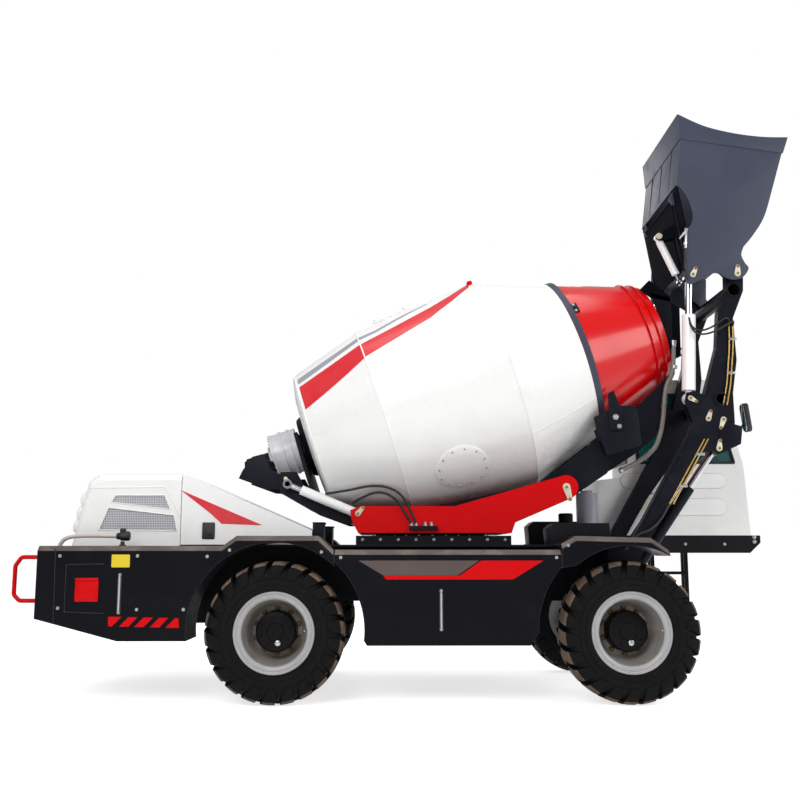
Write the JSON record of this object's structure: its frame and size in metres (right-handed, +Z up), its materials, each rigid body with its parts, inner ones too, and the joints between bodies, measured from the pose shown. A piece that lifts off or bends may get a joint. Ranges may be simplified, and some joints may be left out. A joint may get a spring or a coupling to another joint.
{
  "type": "self-loading concrete mixer",
  "caption": "Four-wheel self-loading concrete mixer: slewing, tilting drum on a red frame, raised front loader bucket with a discharge gate, side cab, rear engine hood and side tanks.",
  "frame": {"origin": "centre of the bounding box on the ground", "axes": "+X forward to the loader, +Y to the machine's left, +Z up"},
  "size_m": [6.935, 2.6004, 5.344],
  "materials": {
    "chassis_frame": "satin black paint",
    "axles": "satin black paint",
    "engine_block": "satin black paint",
    "rear_bumper": "satin black paint",
    "rear_side_boxes": "semi-gloss black paint",
    "side_tanks": "semi-gloss black paint",
    "front_fenders": "semi-gloss black paint",
    "grab_handles": "gloss red paint",
    "front_cowl": "gloss white paint",
    "slew_base": "satin black paint",
    "hydraulic_tank": "light grey paint",
    "cab_shell": "gloss white paint",
    "cab_glass": "green tinted glass",
    "cab_platform": "satin black paint",
    "cab_interior": "dark vinyl and plastic",
    "engine_hood": "gloss white paint",
    "hood_grilles": "dark woven wire",
    "rear_lamps": "clear and red lens",
    "cab_door": "gloss white paint",
    "door_glass": "green tinted glass",
    "swing_frame": "gloss red paint",
    "cradle_frame": "satin black paint",
    "support_rollers": "worn steel",
    "drum_gearbox": "gloss white paint",
    "drum_motor": "satin black paint",
    "feed_hopper": "satin black paint",
    "water_hose": "grey ribbed hose",
    "drum_shell": "gloss white paint",
    "drum_cone": "gloss red paint",
    "drum_track": "satin black paint",
    "tilt_barrels": "gloss white paint",
    "tilt_rods": "polished chrome",
    "boom": "satin dark blue-grey paint",
    "dump_barrels": "gloss white paint",
    "dump_rods": "polished chrome",
    "lift_barrels": "satin dark blue-grey paint",
    "lift_rods": "polished chrome",
    "bucket": "satin dark blue-grey paint",
    "gate": "satin dark blue-grey paint",
    "gate_barrel": "gloss white paint",
    "gate_rod": "polished chrome",
    "knuckle_fl": "satin black paint",
    "tyre_fl": "matte rubber",
    "rim_fl": "silver paint, black hub",
    "knuckle_fr": "satin black paint",
    "tyre_fr": "matte rubber",
    "rim_fr": "silver paint, black hub",
    "knuckle_rl": "satin black paint",
    "tyre_rl": "matte rubber",
    "rim_rl": "silver paint, black hub",
    "knuckle_rr": "satin black paint",
    "tyre_rr": "matte rubber",
    "rim_rr": "silver paint, black hub"
  },
  "bodies": {
    "chassis": {"chassis_frame": "chassis_frame", "axles": "axles", "engine_block": "engine_block", "rear_bumper": "rear_bumper", "rear_side_boxes": "rear_side_boxes", "side_tanks": "side_tanks", "front_fenders": "front_fenders", "grab_handles": "grab_handles", "front_cowl": "front_cowl", "slew_base": "slew_base", "hydraulic_tank": "hydraulic_tank", "cab_shell": "cab_shell", "cab_glass": "cab_glass", "cab_platform": "cab_platform", "cab_interior": "cab_interior"},
    "hood": {"engine_hood": "engine_hood", "hood_grilles": "hood_grilles", "rear_lamps": "rear_lamps"},
    "door": {"cab_door": "cab_door", "door_glass": "door_glass"},
    "swing": {"swing_frame": "swing_frame"},
    "cradle": {"cradle_frame": "cradle_frame", "support_rollers": "support_rollers", "drum_gearbox": "drum_gearbox", "drum_motor": "drum_motor", "feed_hopper": "feed_hopper", "water_hose": "water_hose"},
    "drum": {"drum_shell": "drum_shell", "drum_cone": "drum_cone", "drum_track": "drum_track"},
    "tilt_barrel": {"tilt_barrels": "tilt_barrels"},
    "tilt_rod": {"tilt_rods": "tilt_rods"},
    "boom": {"boom": "boom", "dump_barrels": "dump_barrels"},
    "dump_rod": {"dump_rods": "dump_rods"},
    "lift_barrel": {"lift_barrels": "lift_barrels"},
    "lift_rod": {"lift_rods": "lift_rods"},
    "bucket": {"bucket": "bucket"},
    "gate": {"gate": "gate"},
    "gate_barrel": {"gate_barrel": "gate_barrel"},
    "gate_rod": {"gate_rod": "gate_rod"},
    "knuckle_fl": {"knuckle_fl": "knuckle_fl"},
    "wheel_fl": {"tyre_fl": "tyre_fl", "rim_fl": "rim_fl"},
    "knuckle_fr": {"knuckle_fr": "knuckle_fr"},
    "wheel_fr": {"tyre_fr": "tyre_fr", "rim_fr": "rim_fr"},
    "knuckle_rl": {"knuckle_rl": "knuckle_rl"},
    "wheel_rl": {"tyre_rl": "tyre_rl", "rim_rl": "rim_rl"},
    "knuckle_rr": {"knuckle_rr": "knuckle_rr"},
    "wheel_rr": {"tyre_rr": "tyre_rr", "rim_rr": "rim_rr"}
  },
  "joints": [
    {"name": "steer_fl", "type": "hinge", "parent": "chassis", "child": "knuckle_fl", "pos_m": [1.691, 0.86, 0.58], "axis": [0, 0, 1], "range_deg": [-24, 24]},
    {"name": "spin_fl", "type": "hinge", "parent": "knuckle_fl", "child": "wheel_fl", "pos_m": [1.691, 1.095, 0.58], "axis": [0, 1, 0], "continuous": true},
    {"name": "steer_fr", "type": "hinge", "parent": "chassis", "child": "knuckle_fr", "pos_m": [1.691, -0.86, 0.58], "axis": [0, 0, 1], "range_deg": [-24, 24]},
    {"name": "spin_fr", "type": "hinge", "parent": "knuckle_fr", "child": "wheel_fr", "pos_m": [1.691, -1.095, 0.58], "axis": [0, 1, 0], "continuous": true},
    {"name": "steer_rl", "type": "hinge", "parent": "chassis", "child": "knuckle_rl", "pos_m": [-1.242, 0.86, 0.58], "axis": [0, 0, 1], "range_deg": [-24, 24]},
    {"name": "spin_rl", "type": "hinge", "parent": "knuckle_rl", "child": "wheel_rl", "pos_m": [-1.242, 1.095, 0.58], "axis": [0, 1, 0], "continuous": true},
    {"name": "steer_rr", "type": "hinge", "parent": "chassis", "child": "knuckle_rr", "pos_m": [-1.242, -0.86, 0.58], "axis": [0, 0, 1], "range_deg": [-24, 24]},
    {"name": "spin_rr", "type": "hinge", "parent": "knuckle_rr", "child": "wheel_rr", "pos_m": [-1.242, -1.095, 0.58], "axis": [0, 1, 0], "continuous": true},
    {"name": "drum_slew", "type": "hinge", "parent": "chassis", "child": "swing", "pos_m": [0.089, 0, 1.403], "axis": [0, 0, 1], "range_deg": [-270, 0]},
    {"name": "drum_tilt", "type": "hinge", "parent": "swing", "child": "cradle", "pos_m": [1.297, 0, 1.814], "axis": [0, 1, 0], "range_deg": [0, 2.3]},
    {"name": "drum_spin", "type": "hinge", "parent": "cradle", "child": "drum", "pos_m": [-1.345, 0, 2.159], "axis": [0.9497, 0, 0.3132], "continuous": true},
    {"name": "tilt_cyl_swing", "type": "hinge", "parent": "swing", "child": "tilt_barrel", "pos_m": [-0.583, 0, 1.574], "axis": [0, 1, 0], "range_deg": [0, 9]},
    {"name": "tilt_cyl_slide", "type": "slide", "parent": "tilt_barrel", "child": "tilt_rod", "axis": [-0.9214, 0, 0.3887], "range_m": [0, 0.0474]},
    {"name": "boom_lift", "type": "hinge", "parent": "chassis", "child": "boom", "pos_m": [1.84, 0, 1.15], "axis": [0, 1, 0], "range_deg": [0, 84]},
    {"name": "lift_cyl_swing", "type": "hinge", "parent": "chassis", "child": "lift_barrel", "pos_m": [1.834, 0, 0.935], "axis": [0, 1, 0], "range_deg": [0, 82]},
    {"name": "lift_cyl_slide", "type": "slide", "parent": "lift_barrel", "child": "lift_rod", "axis": [0.5726, 0, 0.8199], "range_m": [-0.2813, 0]},
    {"name": "bucket_tilt", "type": "hinge", "parent": "boom", "child": "bucket", "pos_m": [2.919, 0, 3.783], "axis": [0, -1, 0], "range_deg": [-40, 22]},
    {"name": "dump_cyl_slide", "type": "slide", "parent": "boom", "child": "dump_rod", "axis": [0.0462, 0, 0.9989], "range_m": [-0.1563, 0.2801]},
    {"name": "gate_swing", "type": "hinge", "parent": "bucket", "child": "gate", "pos_m": [2.391, 0, 4.541], "axis": [0, 1, 0], "range_deg": [0, 55]},
    {"name": "gate_cyl_swing", "type": "hinge", "parent": "gate", "child": "gate_barrel", "pos_m": [2.268, -0.44, 4.213], "axis": [0, 1, 0], "range_deg": [-64, 0]},
    {"name": "gate_cyl_slide", "type": "slide", "parent": "gate_barrel", "child": "gate_rod", "axis": [0.4042, 0, -0.9147], "range_m": [0, 0.3189]},
    {"name": "hood_lid", "type": "hinge", "parent": "chassis", "child": "hood", "pos_m": [-2.123, 0, 1.918], "axis": [0, 1, 0], "range_deg": [0, 60]},
    {"name": "door_swing", "type": "hinge", "parent": "chassis", "child": "door", "pos_m": [2.242, 1.284, 2.158], "axis": [0, 0, 1], "range_deg": [0, 75]}
  ],
  "couplings": [
    {"joint": "steer_fr", "follows": "steer_fl", "ratio": 1},
    {"joint": "steer_rr", "follows": "steer_rl", "ratio": 1},
    {"joint": "tilt_cyl_swing", "follows": "drum_tilt", "ratio": 3.2},
    {"joint": "tilt_cyl_slide", "follows": "drum_tilt", "m_per_rad": 1.0561},
    {"joint": "lift_cyl_swing", "follows": "boom_lift", "ratio": 0.95936},
    {"joint": "lift_cyl_slide", "follows": "boom_lift", "m_per_rad": -0.18845},
    {"joint": "dump_cyl_slide", "follows": "bucket_tilt", "m_per_rad": -0.39398},
    {"joint": "gate_cyl_swing", "follows": "gate_swing", "ratio": -1.1323},
    {"joint": "gate_cyl_slide", "follows": "gate_swing", "m_per_rad": 0.32698}
  ]
}
